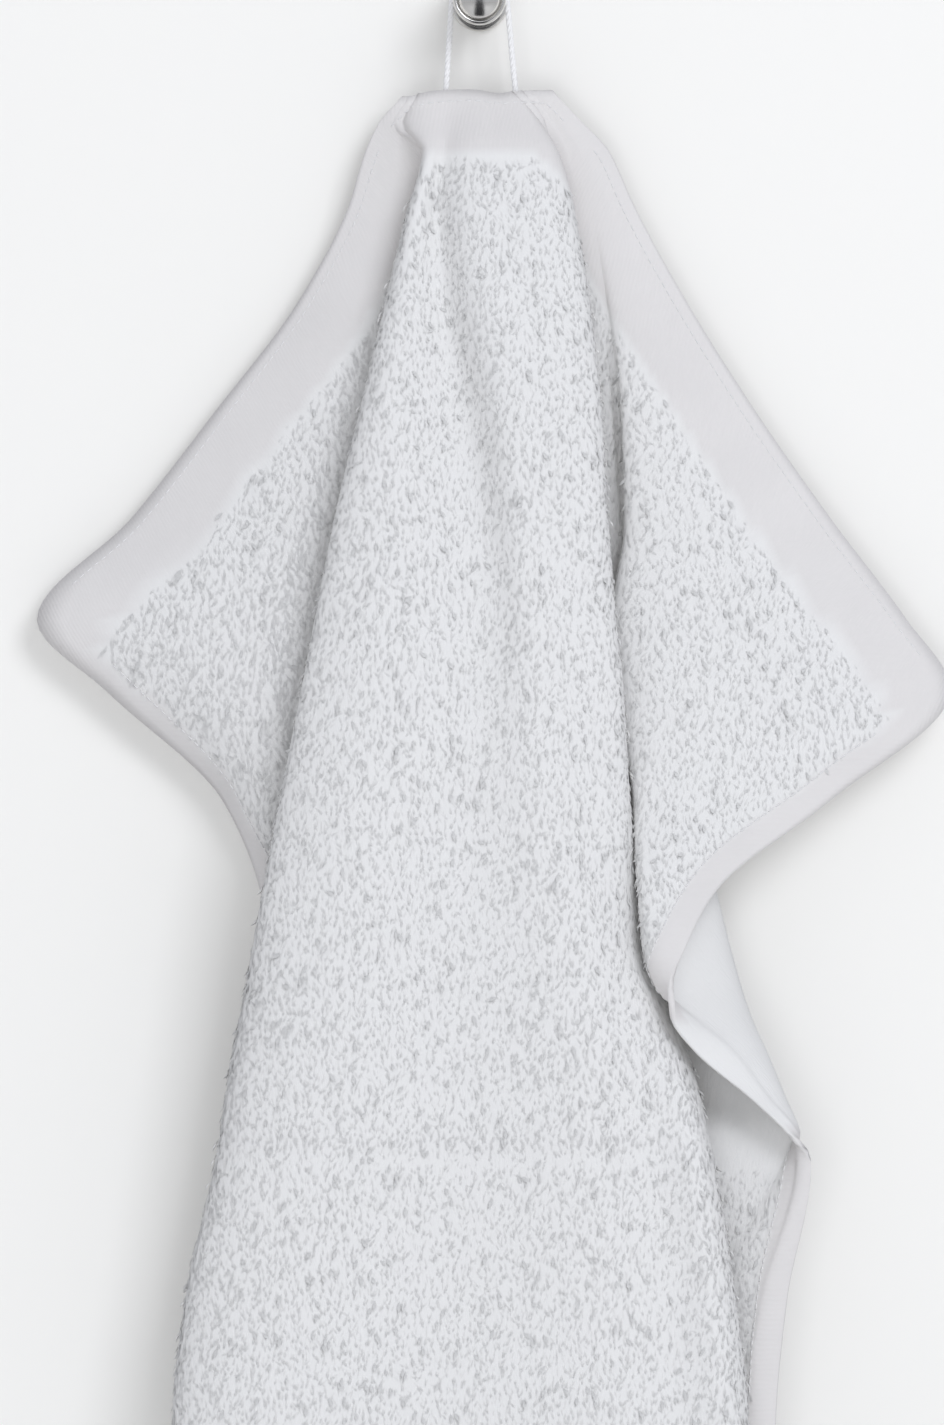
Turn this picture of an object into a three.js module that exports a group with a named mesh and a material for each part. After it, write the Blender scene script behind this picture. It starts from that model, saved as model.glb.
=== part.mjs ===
// A terry hand towel that hangs by its cord loop from a plain round wall peg.
// Millimetres. X runs to the right and Z up. The wall would be the plane Y = 0, and everything lies in
// front of it, at negative Y. The origin is the middle of the wall plate's back.
import * as THREE from 'three';

// Driving sizes of the towel. It is 500 wide and 1000 long when it lies flat.
const TERRY_THICKNESS = 3;
const BAND_THICKNESS = 2; // the woven band under the top hem has no pile
const BAND_WIDTH = 22.5;
const SIDE_HEM_WIDTH = 9;
const PILE_RISE = 8; // the cloth reaches its full thickness this far inside a hem
const LEFT_CORNER = -199; // heights of the top hem's two ends
const RIGHT_CORNER = -221.5;
const TOP_HEM = -29; // height of the top hem at its middle
const BOTTOM_MIDDLE = -1029;
const BOTTOM_CORNER = -1165; // the corners hang lower, because the top hem falls away on both sides
const LEVEL_DOWN_TO = -700; // below this the rows of the sheet slope as the bottom hem does

// Driving sizes of the hook and the loop
const PLATE_RADIUS = 9.3;
const PLATE_DEPTH = 3;
const STEM_RADIUS = 7.6;
const STEM_END = 27;
const KNOB_RADIUS = 8.5;
const KNOB_END = 38;
const ROUND_SEGMENTS = 36;
const GAP = 0.3; // between one piece and the next
const CORD_RADIUS = 1;
const LOOP_OFF_WALL = 16;

// Where each fold stands at each height: X in mm. From left to right along the cloth they are the left
// edge, the left wing's swell just behind the front panel, the valley hidden behind the panel, the panel's
// left fold, its own valley, ridge and dip, its right fold, the valley hidden behind that, the fold of the
// turned-out flare, the left fold of the right wing, and the right edge. Where two neighbours stand close
// together and in order, the cloth has no fold there.
const ACROSS = [
  // height, edgeLeft, behindFold, backLeft, foldLeft, valley, ridge, dip,
  //   foldRight, backRight, flare, wing, edgeRight
  [-29, -25, -23.5, -22, -19, -9, 2, 6, 10, 13, 16, 19, 23.5],
  [-39, -32, -29.5, -27, -23.5, -10, -2, 10, 18, 20, 23, 26, 32.5],
  [-48, -36.5, -27, -17, -17.5, -11, -5, 12, 24, 22, 28, 32, 41],
  [-56, -39, -27.5, -14, -19, -12.5, -6, 14, 27, 23.5, 30, 34, 45],
  [-65, -41.5, -29, -13.5, -22, -13, -6, 15, 29.5, 24, 32, 36, 49],
  [-97, -58, -36, -17, -30, -10.5, -2, 18, 35, 25, 39, 42, 66.5],
  [-132, -84.5, -45, -18, -38.5, -4, 5, 22, 39, 23, 43, 46, 88.5],
  [-167, -112, -55, -16, -47, 1.5, 10, 26, 41, 18, 46, 47, 113],
  [-199, -142, -64, -14, -53.5, 4.5, 13, 29, 43.5, 14, 54, 42, 137],
  [-221.5, -119.5, -68, -12, -58, 2.5, 14, 31, 46, 12, 60, 43, 151],
  [-257, -81.5, -70, -12, -65, -1, 18, 35, 48, 12, 69, 49.8, 112],
  [-285.5, -70, -56, -11, -70.5, -3.5, 24, 39.5, 50.5, 12, 77, 51.8, 75.5],
  [-305, -67, -39, -10.5, -74, -5, 27, 42, 54, 12, 82, 53, 65],
  [-316, -66, -38, -10, -76, -5.5, 29.5, 45, 58, 12, 85, 57, 61],
  [-326, -65, -37.5, -10, -78, -6, 31, 48, 61.5, 12, 88, 68, 61.5],
  [-336, -64, -37, -9.5, -80, -7.5, 33, 51.5, 66, 13, 92, 80, 68],
  [-353, -62, -35.5, -9, -83, -9, 35, 55, 71, 14, 98.5, 93, 88],
  [-363, -61, -35, -9, -84.5, -10, 35.5, 56.5, 73, 14.5, 102, 101, 98.5],
  [-372, -60, -34.5, -8.5, -86, -10.5, 36.5, 58, 75, 15, 98, 102, 106],
  [-417, -56, -32, -7.5, -96, -14, 39, 63, 82, 17, 74, 90, 98],
  [-457, -54, -30.5, -7, -100, -16, 40, 65.5, 86, 18, 66, 84, 94.5],
  [-700, -50, -28, -6, -97, -16, 40, 65.5, 86, 18, 56, 76, 91],
  [-1170, -48, -26.5, -5, -92, -14, 39.5, 63.5, 83, 17, 52, 70, 86],
];

// How far the cloth stands off the wall at each height, in mm. The rear layers lie near the wall, the
// middle ones run back behind the front panel, and the panel has a left bulge, a valley, a ridge, a dip and
// a right bulge.
const OFF_WALL = [
  // height, edgeLeft, behindFold, rearLeft, middleLeft, foldLeft, bulge, valley, ridge, dip,
  //   rightBulge, foldRight, middleRight, rearRight, flare, underWing, wing, wingMiddle, edgeRight
  [-29, 17, 17, 17, 17.5, 18, 18, 18, 18, 18, 18, 18, 18, 17.5, 17, 17, 17, 17, 17],
  [-39, 14, 15, 15.5, 16, 19, 22, 20.5, 24, 23, 22, 21, 18, 16, 15.5, 15.5, 15.5, 15, 14],
  [-48, 13, 14, 14, 20, 27, 27, 24, 30, 28, 27, 25, 19, 15, 14.5, 14.5, 14.5, 14, 12],
  [-65, 12, 15, 13, 21, 31, 32, 25, 36, 33, 31, 28, 20, 14, 14, 14, 14, 14, 12],
  [-97, 11, 20, 13, 25, 36, 39, 29, 44, 40, 37, 34, 24, 14, 14, 14, 16, 15, 12],
  [-132, 11, 26, 13, 31, 42, 45, 34, 50, 46, 43, 40, 30, 14, 15, 18, 21, 17, 12],
  [-167, 11, 32, 14, 36, 46, 51, 41, 54, 49, 47, 43, 34, 13, 16, 21, 25, 20, 13],
  [-199, 12, 36, 14, 39, 48, 55, 46, 56, 51, 49, 45, 37, 13, 20, 26, 32, 25, 14],
  [-221.5, 13, 37, 14, 40, 49, 57, 49, 58, 52, 50, 46, 38, 13, 22, 28, 35, 30, 16],
  [-257, 13, 33, 14, 40, 50, 60, 51, 60, 52, 50, 46, 37, 13, 26, 36, 44, 40, 28],
  [-285.5, 13, 24, 14, 38, 50, 60, 52, 60, 53, 49, 42, 30, 13, 30, 43, 53, 52, 46],
  [-305, 13, 16, 14, 34, 50, 60, 52, 60, 53, 48, 38, 27, 13, 32, 47, 54, 57, 56],
  [-316, 13, 15, 14, 32, 50, 60, 52, 60, 52, 49, 38, 29, 14, 33, 47, 51, 55, 58],
  [-326, 13, 15, 14, 31, 50, 60, 52, 60, 52, 50, 40, 32, 16, 36, 47, 49.5, 53, 57],
  [-336, 13, 15, 14, 31, 50, 60, 52, 60, 52, 52, 42, 35, 20, 38, 46, 48, 51, 54],
  [-353, 13, 15, 14, 31, 50, 60, 51, 59, 51, 55, 45, 38, 24, 38, 42, 43.5, 45.5, 47.5],
  [-363, 13, 15, 14, 31, 50, 60, 51, 59, 51, 56, 47, 40, 29, 36, 40, 42, 43, 44.5],
  [-372, 13, 15, 14, 31, 50, 59, 50, 58, 50, 58, 48, 41, 30, 34, 37.5, 39, 40, 40],
  [-417, 14, 15, 14, 31, 49, 58, 49, 57, 50, 58, 48, 41, 29, 31, 34, 35, 35, 33],
  [-700, 14, 15, 14, 30, 46, 54, 44, 53, 48, 54, 45, 38, 24, 26, 29, 31, 30, 27],
  [-1170, 14, 15, 14, 29, 42, 48, 40, 47, 43, 48, 42, 35, 20, 22, 25, 27, 25, 23],
];

// Steps of the sheet between one fold's control point and the next, from the left edge to the right one
const STEPS_ACROSS = [2, 2, 2, 3, 2, 3, 2, 3, 2, 2, 1, 2, 3, 2, 3, 2, 2, 2, 3, 3];
const LONGEST_STEP_UPPER = 18;
const LONGEST_STEP_LOWER = 95;
const LOWER_PART = -457; // below this the folds hang straight and need few rows

const BULGE_SHARE = 0.45; // where the left bulge is highest, from the left fold (0) to the valley (1)
const RIGHT_BULGE_SHARE = 0.65; // and the right bulge, from the dip to the right fold

// The top hem isn't quite straight: it is low at its left end and dips right of its middle.
const TOP_DROPS = [
  // x, drop, halfWidth
  [-25, 2, 8],
  [6, 1.3, 5],
];
const TOP_DROP_FADES = 16; // this far down, the rows are level again

const mix = (a, b, share) => a + (b - a) * share;
const smooth = (share) => {
  const t = Math.min(Math.max(share, 0), 1);
  return t * t * (3 - 2 * t);
};

// A curve through one column of a table that never swings past its rows
function fallingCurve(table, column) {
  const heights = table.map((row) => row[0]);
  const values = table.map((row) => row[column]);
  const slopes = values.slice(1).map((value, i) => (value - values[i]) / (heights[i + 1] - heights[i]));
  const tangents = values.map((_, i) => {
    const before = slopes[Math.max(i - 1, 0)];
    const after = slopes[Math.min(i, slopes.length - 1)];
    return before * after <= 0 ? 0 : (2 * before * after) / (before + after);
  });
  return (height) => {
    let i = 0;
    while (i < heights.length - 2 && height < heights[i + 1]) i += 1;
    const span = heights[i + 1] - heights[i];
    const t = Math.min(Math.max((height - heights[i]) / span, 0), 1);
    const [t2, t3] = [t * t, t * t * t];
    return (2 * t3 - 3 * t2 + 1) * values[i] + (t3 - 2 * t2 + t) * span * tangents[i]
      + (3 * t2 - 2 * t3) * values[i + 1] + (t3 - t2) * span * tangents[i + 1];
  };
}

const acrossCurves = ACROSS[0].slice(1).map((_, i) => fallingCurve(ACROSS, i + 1));
const offWallCurves = OFF_WALL[0].slice(1).map((_, i) => fallingCurve(OFF_WALL, i + 1));

// The control points of the cloth's level section at one height: [x, y], from the left edge to the right
// one. A fold has two of them, one on each of its layers.
function sectionPoints(height) {
  const [edgeLeft, behindFold, backLeft, foldLeft, valley, ridge, dip, foldRight, backRight, flare, wing,
    edgeRight] = acrossCurves.map((curve) => curve(height));
  const xs = [
    edgeLeft, behindFold, backLeft, backLeft, foldLeft, foldLeft, mix(foldLeft, valley, BULGE_SHARE),
    valley, ridge, dip, mix(dip, foldRight, RIGHT_BULGE_SHARE), foldRight, foldRight, backRight, backRight,
    flare, flare, wing, wing, mix(wing, edgeRight, 0.5), edgeRight,
  ];
  const [offEdgeLeft, offBehindFold, rearLeft, middleLeft, offFoldLeft, bulge, offValley, offRidge, offDip,
    rightBulge, offFoldRight, middleRight, rearRight, offFlare, underWing, offWing, wingMiddle, offEdgeRight] =
    offWallCurves.map((curve) => curve(height));
  const offs = [
    offEdgeLeft, offBehindFold, rearLeft, middleLeft, middleLeft, offFoldLeft, bulge, offValley, offRidge,
    offDip, rightBulge, offFoldRight, middleRight, middleRight, rearRight, rearRight, offFlare,
    underWing, offWing, wingMiddle, offEdgeRight,
  ];
  return xs.map((x, i) => [x, -offs[i]]);
}

// One point of the cubic B-spline over the control points. The whole numbers of along stand beside the
// control points.
function splinePoint(points, along) {
  const last = points.length - 1;
  const i = Math.min(Math.floor(along), last - 1);
  const t = along - i;
  const mirrored = (end, inner) => end.map((value, k) => 2 * value - inner[k]);
  const before = i > 0 ? points[i - 1] : mirrored(points[0], points[1]);
  const after = i + 2 <= last ? points[i + 2] : mirrored(points[last], points[last - 1]);
  const weights = [(1 - t) ** 3, 3 * t ** 3 - 6 * t ** 2 + 4, -3 * t ** 3 + 3 * t ** 2 + 3 * t + 1, t ** 3];
  return [0, 1].map((k) => (weights[0] * before[k] + weights[1] * points[i][k]
    + weights[2] * points[i + 1][k] + weights[3] * after[k]) / 6);
}

function topDrop(x) {
  return TOP_DROPS.reduce(
    (sum, [middle, drop, halfWidth]) => sum + drop * Math.exp(-(((x - middle) / halfWidth) ** 2)), 0);
}

// A point of the cloth's middle surface. level is a height in mm down to LEVEL_DOWN_TO. Below that it runs
// to the bottom hem, where width is the share of the cloth's width that lies to the left.
function clothPoint(along, level, width) {
  let z = level;
  if (level < LEVEL_DOWN_TO) {
    const bottom = mix(BOTTOM_MIDDLE, BOTTOM_CORNER, Math.abs(2 * width - 1));
    z = mix(LEVEL_DOWN_TO, bottom, (level - LEVEL_DOWN_TO) / (BOTTOM_CORNER - LEVEL_DOWN_TO));
  }
  const [x, y] = splinePoint(sectionPoints(z), along);
  const drop = topDrop(x) * (1 - smooth((TOP_HEM - level) / TOP_DROP_FADES));
  return new THREE.Vector3(x, y, z - drop);
}

function clothGrid() {
  const alongs = [0];
  STEPS_ACROSS.forEach((steps, span) => {
    for (let i = 1; i <= steps; i += 1) alongs.push(span + i / steps);
  });
  const levels = [TOP_HEM];
  const stops = [...ACROSS.map((row) => row[0]).slice(1, -1), BOTTOM_CORNER];
  for (const stop of stops) {
    const start = levels[levels.length - 1];
    const longest = stop < LOWER_PART ? LONGEST_STEP_LOWER : LONGEST_STEP_UPPER;
    const steps = Math.ceil((start - stop) / longest);
    for (let i = 1; i <= steps; i += 1) levels.push(mix(start, stop, i / steps));
  }
  const level = sectionPoints(LEVEL_DOWN_TO);
  const walked = [0];
  for (let i = 1; i < alongs.length; i += 1) {
    const [a, b] = [splinePoint(level, alongs[i - 1]), splinePoint(level, alongs[i])];
    walked.push(walked[i - 1] + Math.hypot(b[0] - a[0], b[1] - a[1]));
  }
  const widths = walked.map((length) => length / walked[walked.length - 1]);
  return levels.map((height) => alongs.map((along, i) => clothPoint(along, height, widths[i])));
}

// How far a point lies from a line through many points
function distanceToLine(point, route) {
  let least = Infinity;
  for (let i = 1; i < route.length; i += 1) {
    const line = new THREE.Line3(route[i - 1], route[i]);
    least = Math.min(least, line.closestPointToPoint(point, true, new THREE.Vector3()).distanceTo(point));
  }
  return least;
}

// The towel is one closed sheet: the grid moved half its thickness forwards, the same moved back, and a
// rim.
function towelGeometry() {
  const grid = clothGrid();
  const [rows, columns] = [grid.length, grid[0].length];
  const [leftSide, rightSide] = [0, columns - 1].map((column) => grid.map((row) => row[column]));
  const above = (side, corner) => side.filter((point) => point.z >= corner - 0.1);
  const below = (side, corner) => side.filter((point) => point.z <= corner + 0.1);
  const topHem = [...above(leftSide, LEFT_CORNER).reverse(), ...grid[0], ...above(rightSide, RIGHT_CORNER)];
  const flatStrips = [
    [topHem, BAND_WIDTH], [grid[rows - 1], BAND_WIDTH],
    [below(leftSide, LEFT_CORNER), SIDE_HEM_WIDTH], [below(rightSide, RIGHT_CORNER), SIDE_HEM_WIDTH],
  ];
  const positions = [];
  const side = (sign) => grid.forEach((row, j) => row.forEach((point, i) => {
    const right = row[Math.min(i + 1, columns - 1)].clone().sub(row[Math.max(i - 1, 0)]);
    const down = grid[Math.min(j + 1, rows - 1)][i].clone().sub(grid[Math.max(j - 1, 0)][i]);
    const forwards = down.cross(right).normalize();
    const inside = Math.min(...flatStrips.map(([hem, width]) => distanceToLine(point, hem) - width));
    const half = mix(BAND_THICKNESS, TERRY_THICKNESS, smooth(inside / PILE_RISE)) / 2;
    positions.push(...point.clone().addScaledVector(forwards, sign * half).toArray());
  }));
  side(1);
  side(-1);
  const front = (j, i) => j * columns + i;
  const back = (j, i) => rows * columns + front(j, i);
  const index = [];
  const quad = (a, b, c, d) => index.push(a, b, c, a, c, d);
  for (let j = 0; j < rows - 1; j += 1) {
    for (let i = 0; i < columns - 1; i += 1) {
      quad(front(j, i), front(j + 1, i), front(j + 1, i + 1), front(j, i + 1));
      quad(back(j, i), back(j, i + 1), back(j + 1, i + 1), back(j + 1, i));
    }
    quad(front(j, 0), back(j, 0), back(j + 1, 0), front(j + 1, 0));
    quad(front(j + 1, columns - 1), back(j + 1, columns - 1), back(j, columns - 1), front(j, columns - 1));
  }
  for (let i = 0; i < columns - 1; i += 1) {
    quad(front(0, i + 1), back(0, i + 1), back(0, i), front(0, i));
    quad(front(rows - 1, i), back(rows - 1, i), back(rows - 1, i + 1), front(rows - 1, i + 1));
  }
  const geometry = new THREE.BufferGeometry();
  geometry.setAttribute('position', new THREE.Float32BufferAttribute(positions, 3));
  geometry.setIndex(index);
  geometry.computeVertexNormals();
  return geometry;
}

// The Y of the cloth's middle surface on the front panel at one place near the top hem
function panelY(x, height) {
  const points = sectionPoints(height);
  const [PANEL_STARTS, PANEL_ENDS] = [5, 11]; // the panel's first and last control points
  const TRIES = 120;
  let [nearest, found] = [Infinity, 0];
  for (let i = 0; i <= TRIES; i += 1) {
    const [pointX, pointY] = splinePoint(points, mix(PANEL_STARTS, PANEL_ENDS, i / TRIES));
    if (Math.abs(pointX - x) < nearest) [nearest, found] = [Math.abs(pointX - x), pointY];
  }
  return found;
}

// The cord lies over the stem and runs down on both sides to its sewn ends behind the top hem.
function loopGeometry() {
  const over = STEM_RADIUS + GAP + CORD_RADIUS;
  const [LEFT_LEG, RIGHT_LEG] = [-10.9, 11.7]; // where each leg passes the hem's top
  const SEWN_LENGTH = 10;
  const BELOW_EDGE = 2; // the cord lies against the hem from here down
  const SLOPE_ROOM = 0.85; // the hem leans, so its back is farther along Y than half its thickness
  const ARC_STEP = 20; // degrees
  const behind = BAND_THICKNESS / 2 + GAP + CORD_RADIUS + SLOPE_ROOM;
  const seat = (x, below) => new THREE.Vector3(x, panelY(x, TOP_HEM - below) + behind, TOP_HEM - below);
  const leg = (x) => {
    const top = seat(x, BELOW_EDGE);
    const free = [0.25, 0.5, 0.75].map((share) => new THREE.Vector3(
      mix(Math.sign(x) * over, x, share), mix(-LOOP_OFF_WALL, top.y, share * share), mix(0, top.z, share)));
    return [...free, top, seat(x, BELOW_EDGE + SEWN_LENGTH / 2), seat(x, BELOW_EDGE + SEWN_LENGTH)];
  };
  const arc = [];
  for (let degrees = 180; degrees >= 0; degrees -= ARC_STEP) {
    const angle = THREE.MathUtils.degToRad(degrees);
    arc.push(new THREE.Vector3(over * Math.cos(angle), -LOOP_OFF_WALL, over * Math.sin(angle)));
  }
  const path = new THREE.CatmullRomCurve3([...leg(LEFT_LEG).reverse(), ...arc, ...leg(RIGHT_LEG)],
    false, 'centripetal');
  const round = new THREE.Shape();
  round.absarc(0, 0, CORD_RADIUS, 0, 2 * Math.PI);
  return new THREE.ExtrudeGeometry(round, { extrudePath: path, steps: 50, curveSegments: 4 });
}

// A turned piece. Its profile is [radius, distance off the wall], from the axis at its back to the axis at
// its front.
function turnedGeometry(profile) {
  const points = profile.map(([radius, off]) => new THREE.Vector2(radius, -off));
  return new THREE.LatheGeometry(points.reverse(), ROUND_SEGMENTS);
}

function plateGeometry() {
  const ROUNDING = 1;
  return turnedGeometry([
    [0, 0], [PLATE_RADIUS, 0], [PLATE_RADIUS, PLATE_DEPTH - ROUNDING],
    [PLATE_RADIUS - 0.3 * ROUNDING, PLATE_DEPTH - 0.3 * ROUNDING], [PLATE_RADIUS - ROUNDING, PLATE_DEPTH],
    [0, PLATE_DEPTH],
  ]);
}

function stemGeometry() {
  return turnedGeometry([
    [0, PLATE_DEPTH + GAP], [STEM_RADIUS, PLATE_DEPTH + GAP], [STEM_RADIUS, STEM_END], [0, STEM_END],
  ]);
}

// The knob has a rounded rim, a fine groove inside it and a shallow dome.
function knobGeometry() {
  const RIM_START = 33.5;
  const GROOVE_RADIUS = 6.9;
  const DOME_STEPS = 5;
  const profile = [
    [0, STEM_END + GAP], [KNOB_RADIUS - 0.6, STEM_END + GAP], [KNOB_RADIUS, STEM_END + GAP + 0.6],
    [KNOB_RADIUS, RIM_START], [KNOB_RADIUS - 0.35, RIM_START + 0.9], [GROOVE_RADIUS + 0.4, RIM_START + 1.3],
    [GROOVE_RADIUS, RIM_START + 0.8],
  ];
  for (let i = 1; i <= DOME_STEPS; i += 1) {
    const angle = (i / DOME_STEPS) * (Math.PI / 2);
    profile.push([GROOVE_RADIUS * Math.cos(angle), mix(RIM_START + 0.8, KNOB_END, Math.sin(angle))]);
  }
  profile[profile.length - 1][0] = 0;
  return turnedGeometry(profile);
}

const terry = new THREE.MeshStandardMaterial({ color: 0xf0f0f2, roughness: 1, metalness: 0 });
const cord = new THREE.MeshStandardMaterial({ color: 0xf2f2f2, roughness: 0.9, metalness: 0 });
const steel = new THREE.MeshStandardMaterial({ color: 0xc4c2bd, roughness: 0.15, metalness: 1 });

const towelOnHook = new THREE.Group();
const pieces = [
  ['towel', towelGeometry(), terry],
  ['hanging_loop', loopGeometry(), cord],
  ['wall_plate', plateGeometry(), steel],
  ['stem', stemGeometry(), steel],
  ['knob', knobGeometry(), steel],
];
for (const [name, geometry, material] of pieces) {
  const mesh = new THREE.Mesh(geometry, material);
  mesh.name = name;
  towelOnHook.add(mesh);
}

export default towelOnHook;
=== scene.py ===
import math

import bmesh
import bpy
import numpy as np
from mathutils import Matrix, Vector, bvhtree, kdtree


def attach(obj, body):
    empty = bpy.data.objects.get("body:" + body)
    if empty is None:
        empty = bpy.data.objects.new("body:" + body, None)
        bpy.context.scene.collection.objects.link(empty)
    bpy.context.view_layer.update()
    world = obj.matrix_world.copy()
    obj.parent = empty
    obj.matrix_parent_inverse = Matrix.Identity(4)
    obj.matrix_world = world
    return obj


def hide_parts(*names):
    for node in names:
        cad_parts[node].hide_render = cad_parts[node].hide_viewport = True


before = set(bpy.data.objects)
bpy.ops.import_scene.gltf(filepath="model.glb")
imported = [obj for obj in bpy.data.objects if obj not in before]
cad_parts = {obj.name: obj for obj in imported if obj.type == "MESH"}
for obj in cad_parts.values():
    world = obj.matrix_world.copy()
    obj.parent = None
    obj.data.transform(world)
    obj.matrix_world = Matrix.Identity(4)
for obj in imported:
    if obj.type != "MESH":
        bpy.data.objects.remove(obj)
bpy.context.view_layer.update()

# Camera. It stands straight in front of the wall and far off, so that near and far folds keep one scale.
# Its frame reaches from the middle of the knob to the middle of the towel.
MM = 0.001
PIXEL = 0.32 * MM  # what one pixel of the 944 x 1425 image covers at the cloth
IMAGE_HEIGHT = 1425
IMAGE_MIDDLE = (472, 712.5)
KNOB_PIXEL = (479.5, -2.2)  # the knob's middle in that image
CLOTH_OFF_WALL = 35 * MM
CAMERA_DISTANCE = 5
CAMERA_SENSOR = 36
CAMERA_REACH = 50

camera = bpy.data.objects.new("camera", bpy.data.cameras.new("camera"))
bpy.context.scene.collection.objects.link(camera)
bpy.context.scene.camera = camera
camera.data.sensor_width = CAMERA_SENSOR
camera.data.lens = CAMERA_SENSOR * CAMERA_DISTANCE / (IMAGE_HEIGHT * PIXEL)
camera.data.clip_end = CAMERA_REACH
camera.location = (
    (IMAGE_MIDDLE[0] - KNOB_PIXEL[0]) * PIXEL,
    -CLOTH_OFF_WALL - CAMERA_DISTANCE,
    (KNOB_PIXEL[1] - IMAGE_MIDDLE[1]) * PIXEL,
)
camera.rotation_euler = (math.pi / 2, 0, 0)


# Stage. A pale painted wall just behind the hook, and a pale floor well below the towel. The wall's back is
# see-through, so that the towel shows from behind too. A large soft lamp stands in front, high and to the
# right, and a weaker one low in front, in an evenly bright room.
WALL_GAP = 0.2 * MM
FLOOR_HEIGHT = -1.35
WALL_HALF_WIDTH = 3
FLOOR_HALF_WIDTH = 9


def linear(code):
    """An sRGB colour, such as "f5f5f5", as linear values."""
    parts = [int(code[i:i + 2], 16) / 255 for i in (0, 2, 4)]
    return [c / 12.92 if c <= 0.04045 else ((c + 0.055) / 1.055) ** 2.4 for c in parts] + [1]


def add_node(tree, kind, inputs, **settings):
    """A new node with its settings, and a value or a link for each input that is named."""
    node = tree.nodes.new(kind)
    for name, value in settings.items():
        setattr(node, name, value)
    for name, value in inputs.items():
        if isinstance(value, bpy.types.NodeSocket):
            tree.links.new(value, node.inputs[name])
        else:
            node.inputs[name].default_value = value
    return node


def new_material(name):
    """An empty material, its node tree and its output node."""
    material = bpy.data.materials.new(name)
    material.use_nodes = True
    material.node_tree.nodes.clear()
    return material, material.node_tree, add_node(material.node_tree, "ShaderNodeOutputMaterial", {})


def add_piece(name, mesh, material):
    """A new object at the origin that holds the mesh."""
    piece = bpy.data.objects.new(name, mesh)
    bpy.context.scene.collection.objects.link(piece)
    mesh.materials.append(material)
    return piece


def stage_plane(name, half_sizes, place, turn, material):
    """A flat rectangle of the stage."""
    bm = bmesh.new()
    bmesh.ops.create_grid(bm, x_segments=1, y_segments=1, size=1)
    bmesh.ops.scale(bm, verts=bm.verts, vec=(*half_sizes, 1))
    bmesh.ops.rotate(bm, verts=bm.verts, cent=(0, 0, 0), matrix=Matrix.Rotation(turn, 3, "X"))
    bmesh.ops.translate(bm, verts=bm.verts, vec=place)
    mesh = bpy.data.meshes.new(name)
    bm.to_mesh(mesh)
    bm.free()
    plane = add_piece(name, mesh, material)
    return plane


wall_paint, tree, output = new_material("matt_wall_paint")
paint = add_node(tree, "ShaderNodeBsdfDiffuse", {"Color": linear("f8f6f1")})
see_through = add_node(tree, "ShaderNodeBsdfTransparent", {})
side = add_node(tree, "ShaderNodeNewGeometry", {})
both = add_node(tree, "ShaderNodeMixShader",
                {0: side.outputs["Backfacing"], 1: paint.outputs[0], 2: see_through.outputs[0]})
tree.links.new(both.outputs[0], output.inputs["Surface"])
floor_paint, tree, output = new_material("matt_floor_paint")
paint = add_node(tree, "ShaderNodeBsdfDiffuse", {"Color": linear("f9f8f6")})
tree.links.new(paint.outputs[0], output.inputs["Surface"])

wall = stage_plane("wall", (WALL_HALF_WIDTH, WALL_HALF_WIDTH), (0, WALL_GAP, 0), math.pi / 2, wall_paint)
wall.visible_diffuse = False  # so that the room lights the towel's back as well
wall.visible_shadow = False
stage_plane("floor", (FLOOR_HALF_WIDTH, FLOOR_HALF_WIDTH), (0, 0, FLOOR_HEIGHT), 0, floor_paint)

# A dark card leans in front below the hook, for its reflection in the steel alone.
CARD_HALF_SIZES = (0.36, 1.44)
CARD_PLACE = (0, -1.33, -0.62)
CARD_TURN = 0.487
card_paper, tree, output = new_material("dark_card_paper")
paper = add_node(tree, "ShaderNodeBsdfDiffuse", {"Color": linear("38383a")})
tree.links.new(paper.outputs[0], output.inputs["Surface"])
card = stage_plane("dark_card", CARD_HALF_SIZES, CARD_PLACE, -CARD_TURN, card_paper)
card.visible_camera = False
card.visible_diffuse = False
card.visible_shadow = False
card.visible_transmission = False

# The room and its lamps, as [name, size in metres, watts, colour, place]. Both lamps point at the towel.
ROOM_COLOUR = "f5f8ff"
ROOM_STRENGTH = 0.58
LAMPS = [
    ["soft_lamp", 1.2, 30, "f5f8ff", (1.1, -2.5, 1.1)],
    ["front_lamp", 1.6, 23, "f7faff", (-0.2, -3.2, -0.9)],
]
LAMPS_POINT_AT = (0, 0, -0.25)
world = bpy.data.worlds.new("pale_room")
bpy.context.scene.world = world
world.use_nodes = True
world.node_tree.nodes["Background"].inputs["Color"].default_value = linear(ROOM_COLOUR)
world.node_tree.nodes["Background"].inputs["Strength"].default_value = ROOM_STRENGTH

for name, size, watts, tint, place in LAMPS:
    lamp = bpy.data.objects.new(name, bpy.data.lights.new(name, "AREA"))
    bpy.context.scene.collection.objects.link(lamp)
    lamp.data.shape = "SQUARE"
    lamp.data.size = size
    lamp.data.energy = watts
    lamp.data.color = linear(tint)[:3]
    lamp.location = place
    lamp.rotation_mode = "QUATERNION"
    lamp.rotation_quaternion = (lamp.location - Vector(LAMPS_POINT_AT)).to_track_quat("Z", "Y")
lamp.visible_glossy = False  # the steel mirrors the high lamp alone

bpy.context.scene.view_settings.view_transform = "Standard"


# Hook. Three turned pieces of polished stainless steel: a plate that lies flat on the wall, the stem that the
# loop lies over, and a knob with a rolled rim, a fine groove and a shallow dome. A fitter glues or screws the
# plate to the wall. Each profile is [radius, distance off the wall] in mm, from the axis at the back to the
# axis at the front.
ROUND_STEPS = 96
SHARP_FROM = math.radians(35)
MERGED_WITHIN = 0.001 * MM


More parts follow.
